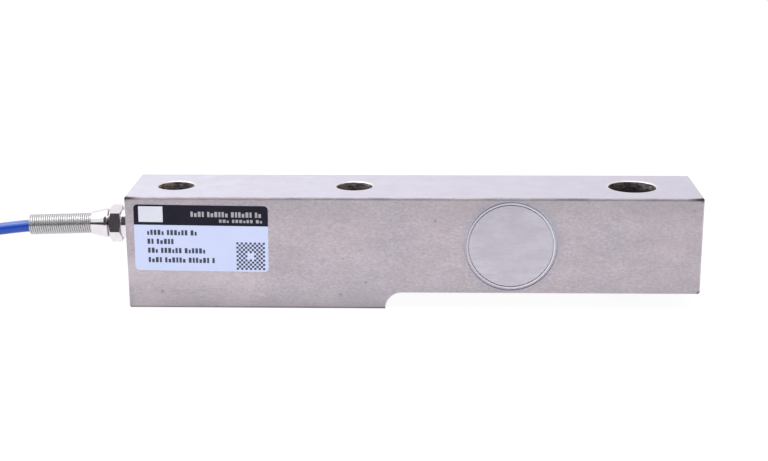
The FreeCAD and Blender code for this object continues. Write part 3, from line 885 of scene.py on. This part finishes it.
def make_spring():
    """The close-wound strain relief: one wire along a helix from the cap's end face, both ends ground."""
    radius = (spring_inner_diameter_mm + spring_wire_mm) / 2 / math.cos(math.pi / spring_points_a_turn)
    lean = Matrix.Rotation(math.radians(-90 - spring_droop), 3, "Y")
    start = Vector(spring_start_mm)
    length = spring_pitch_mm * spring_turns + spring_wire_mm
    last = round(spring_points_a_turn * (spring_turns + spring_spare_turns))
    points = []
    for step in range(-spring_points_a_turn, last + 1):
        turn = 2 * math.pi * step / spring_points_a_turn
        rise = spring_wire_mm / 2 + spring_pitch_mm * step / spring_points_a_turn
        points.append(start + lean @ Vector((radius * math.cos(turn), radius * math.sin(turn), rise)))
    wire = wire_object("spring_wire_guide", spring_wire_mm / 2, points, sides=16, steps=2)
    mesh = bpy.data.meshes.new_from_object(wire)
    bpy.data.objects.remove(wire)
    axis = lean @ Vector((0, 0, 1))

    def build(bm):
        bm.from_mesh(mesh)
        bmesh.ops.remove_doubles(bm, verts=bm.verts, dist=1e-7)
        ground_flat(bm, mm(*start), -axis)
        ground_flat(bm, mm(*(start + axis * length)), axis)

    spring = mesh_object("wound_spring", build)
    bpy.data.meshes.remove(mesh)
    own_piece(spring, materials["spring"], "spring_wire", "strain_relief_spring")


def make_tie():
    """The strap round the middle of the coil, with its loose end laid back over the top."""
    reach = coil_middle_y_mm - coil_front_mm + cable_diameter_mm / 2 + coil_bow_mm + tie_thickness_mm
    middle_x = coil_right_mm - coil_run_mm / 2
    top = (coil_layers - 1) * coil_spacing_mm + cable_diameter_mm + 2 * tie_thickness_mm
    low_y = coil_middle_y_mm - reach
    high_y = coil_middle_y_mm + reach
    outside = box_outline(low_y, 0, high_y, top, (tie_outer_corner_mm,) * 4, 6)
    inside = box_outline(low_y + tie_thickness_mm, tie_thickness_mm, high_y - tie_thickness_mm,
                         top - tie_thickness_mm, (tie_inner_corner_mm,) * 4, 6)
    flap = box_outline(coil_middle_y_mm - flap_front_mm, top, coil_middle_y_mm + flap_rear_mm,
                       top + flap_thickness_mm, flap_corners_mm, 3)
    half = tie_width_mm / 2

    def places(outline, x):
        return [mm(middle_x + x, y, z) for y, z in outline]

    def build(bm):
        loops = ((outside, -half), (outside, half), (inside, half), (inside, -half))
        rings = [[bm.verts.new(point) for point in places(outline, x)] for outline, x in loops]
        for ring, following in zip(rings, rings[1:] + rings[:1]):
            bridge(bm, ring, following)
        add_prism(bm, places(flap, flap_inset_mm - half), places(flap, half - flap_inset_mm))

    return own_piece(mesh_object("coil_strap", build), materials["tie"], "tie_fabric", "coil_tie")


def label_point(u, v, out):
    """A point on the label, from its middle: along, up and out of the front face."""
    tilt = math.radians(label_tilt)
    x = u * math.cos(tilt) + v * math.sin(tilt)
    z = v * math.cos(tilt) - u * math.sin(tilt)
    return mm(label_middle_mm[0] + x, label_middle_mm[1] - out, label_middle_mm[2] + z)


def label_piece(name, outlines, inner_mm, outer_mm, material, *replaced):
    """Flat plates on the label, between two heights over the beam's face."""

    def build(bm):
        for outline in outlines:
            inner, outer = ([label_point(u, v, out) for u, v in outline] for out in (inner_mm, outer_mm))
            add_prism(bm, inner, outer)

    own_piece(mesh_object(name, build), materials[material], "label_film", *replaced)


def printed(name, outlines, material, level=1):
    """Ink on the label; level lifts one ink over another."""
    label_piece(name, outlines, label_thickness_mm - ink_thickness_mm,
                label_thickness_mm + level * ink_thickness_mm, material)


def bar_row(start, end, top, height, seed):
    """A row of plain bars in place of a line of print, with gaps as between words."""
    at = start - label_length_mm / 2
    last = end - label_length_mm / 2 - row_rest_mm
    low = label_height_mm / 2 - top - height
    bars = []
    while at < last:
        number = len(bars)
        width = bar_width_mm + bar_extra_width_mm * ((number * 5 + seed) % 4) / 3
        rise = height if (number * 3 + seed) % 4 else height * low_bar_share
        bars.append(box_outline(at, low, at + width, low + rise))
        at += width + bar_gap_mm
        if (number + 1 + seed) % bars_a_word == bars_a_word - 1:
            at += word_gap_mm
    return bars


def checker():
    """A regular checker with its middle left free."""
    left = label_length_mm / 2 - checker_right_mm - checker_cell_mm * checker_cells
    low = checker_low_mm - label_height_mm / 2
    middle = checker_cells // 2
    squares = []
    for column in range(checker_cells):
        for row in range(checker_cells):
            free = abs(column - middle) <= 1 and abs(row - middle) <= 1
            if (column + row) % 2 == 0 and not free:
                u = left + column * checker_cell_mm
                v = low + row * checker_cell_mm
                squares.append(box_outline(u, v, u + checker_cell_mm, v + checker_cell_mm))
    return squares


def make_label():
    half_u = label_length_mm / 2
    half_v = label_height_mm / 2
    radius = label_corner_mm
    sheet = box_outline(-half_u, -half_v, half_u, half_v, (radius,) * 4)
    header = box_outline(-half_u, half_v - header_height_mm, half_u, half_v, (0, 0, radius, radius))
    left, right, top, bottom = field_mm
    field = box_outline(left - half_u, half_v - bottom, right - half_u, half_v - top)
    header_bars = [bar for row in header_rows for bar in bar_row(*row)]
    body_bars = [bar for row in body_rows for bar in bar_row(*row)]
    label_piece("label_sheet", [sheet], 0, label_thickness_mm, "label", "name_label")
    printed("label_header_band", [header], "header")
    printed("label_white_field", [field], "pale_ink", 2)
    printed("label_header_bars", header_bars, "grey_ink", 2)
    printed("label_bars", body_bars + checker(), "dark_ink")


def seen_rays(tree):
    """1 for rays from the camera, reflections and glass."""
    rays = add(tree, "ShaderNodeLightPath").outputs
    return calc(tree, "MAXIMUM", rays["Is Camera Ray"], rays["Is Glossy Ray"], rays["Is Transmission Ray"])


def make_floor():
    """A pale floor that shows white to the camera and in reflections, and keeps the object's shadow."""
    half = floor_size_mm / 2

    def build(bm):
        bm.faces.new([bm.verts.new(mm(x, y, 0)) for x, y in box_outline(-half, -half, half, half)])

    floor = mesh_object("floor", build)
    material = bpy.data.materials.new("floor")
    material.use_nodes = True
    tree = material.node_tree
    tree.nodes.clear()
    matt = add(tree, "ShaderNodeBsdfDiffuse", {"Color": colour(*floor_colour)}).outputs[0]
    white = add(tree, "ShaderNodeEmission", {"Color": colour(1, 1, 1), "Strength": floor_white}).outputs[0]
    share = calc(tree, "MULTIPLY", seen_rays(tree), floor_glow)
    both = add(tree, "ShaderNodeMixShader", {0: share, 1: matt, 2: white}).outputs[0]
    add(tree, "ShaderNodeOutputMaterial", {"Surface": both})
    floor.data.materials.append(material)


def make_world():
    world = bpy.data.worlds.new("studio")
    world.use_nodes = True
    tree = world.node_tree
    tree.nodes.clear()
    light = add(tree, "ShaderNodeBackground", {"Color": colour(*world_colour), "Strength": world_strength})
    white = add(tree, "ShaderNodeBackground", {"Color": colour(1, 1, 1), "Strength": 1.0})
    both = add(tree, "ShaderNodeMixShader", {0: seen_rays(tree), 1: light.outputs[0], 2: white.outputs[0]})
    add(tree, "ShaderNodeOutputWorld", {"Surface": both.outputs[0]})
    bpy.context.scene.world = world


def make_lamp(name, place_mm, aim_mm, size_mm, power):
    data = bpy.data.lights.new(name, "AREA")
    data.shape = "RECTANGLE"
    data.size = mm(size_mm[0])
    data.size_y = mm(size_mm[1])
    data.energy = power
    lamp = new_object(name, data)
    lamp.location = mm(*place_mm)
    aim = mm(*aim_mm) - lamp.location
    lamp.rotation_euler = aim.to_track_quat("-Z", "Y").to_euler()


def make_card(name, left_mm, right_mm, low_mm, high_mm, y_mm, grey):
    """An upright card that only reflections show, for the dark things that stand round a real studio."""

    def build(bm):
        outline = box_outline(left_mm, low_mm, right_mm, high_mm)
        bm.faces.new([bm.verts.new(mm(x, y_mm, z)) for x, z in outline])

    card = mesh_object(name, build)
    tint = colour(grey, grey, grey * 1.03)
    card.data.materials.append(new_material(name, Base_Color=tint, Roughness=1.0)[0])
    card.visible_camera = False
    card.visible_diffuse = False
    card.visible_shadow = False


bpy.context.scene.view_settings.view_transform = "Standard"
materials = make_materials()
make_camera()
dress_cad_nodes()
cable = make_cable()
make_spring()
lead_pieces = make_leads()
strap = make_tie()
make_label()
make_world()
make_floor()
for card_name, card_values in cards.items():
    make_card(card_name, *card_values)
for lamp_name, lamp_values in lamps.items():
    make_lamp(lamp_name, *lamp_values)
